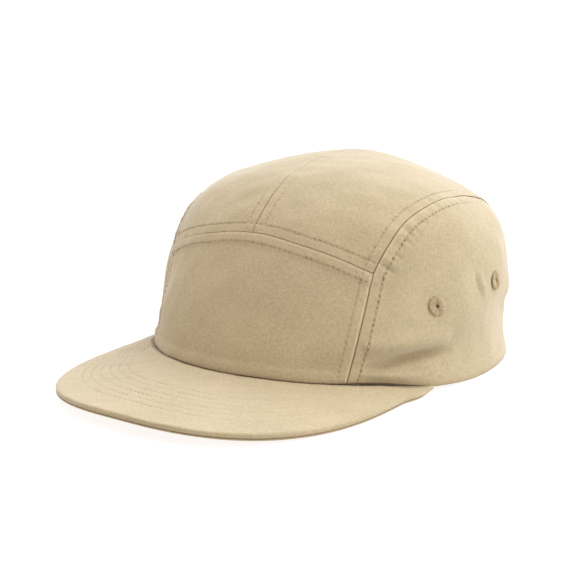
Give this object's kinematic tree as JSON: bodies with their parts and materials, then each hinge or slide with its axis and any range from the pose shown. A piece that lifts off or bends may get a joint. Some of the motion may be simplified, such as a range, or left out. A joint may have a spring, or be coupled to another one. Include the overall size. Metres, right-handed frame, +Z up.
{
  "type": "five panel cap",
  "caption": "Low soft cap of cotton twill with a flat bent peak, thread vent eyelets and a strap across the opening at the back.",
  "frame": {"origin": "middle of the cap's box, on the surface that the cap rests on", "axes": "+Z up, -Y to the front where the peak points, +X to the wearer's left"},
  "size_m": [0.184, 0.2603, 0.1035],
  "materials": {
    "twill": "khaki cotton twill",
    "thread": "matching sewing thread",
    "clasp_metal": "antique brass, satin"
  },
  "bodies": {
    "root": {"front_panel": "twill", "top_panel_left": "twill", "top_panel_right": "twill", "side_panel_left": "twill", "side_panel_right": "twill", "peak": "twill", "eyelet_left_front": "thread", "eyelet_left_back": "thread", "eyelet_right_front": "thread", "eyelet_right_back": "thread", "size_strap": "twill", "strap_clasp": "clasp_metal"}
  },
  "joints": []
}
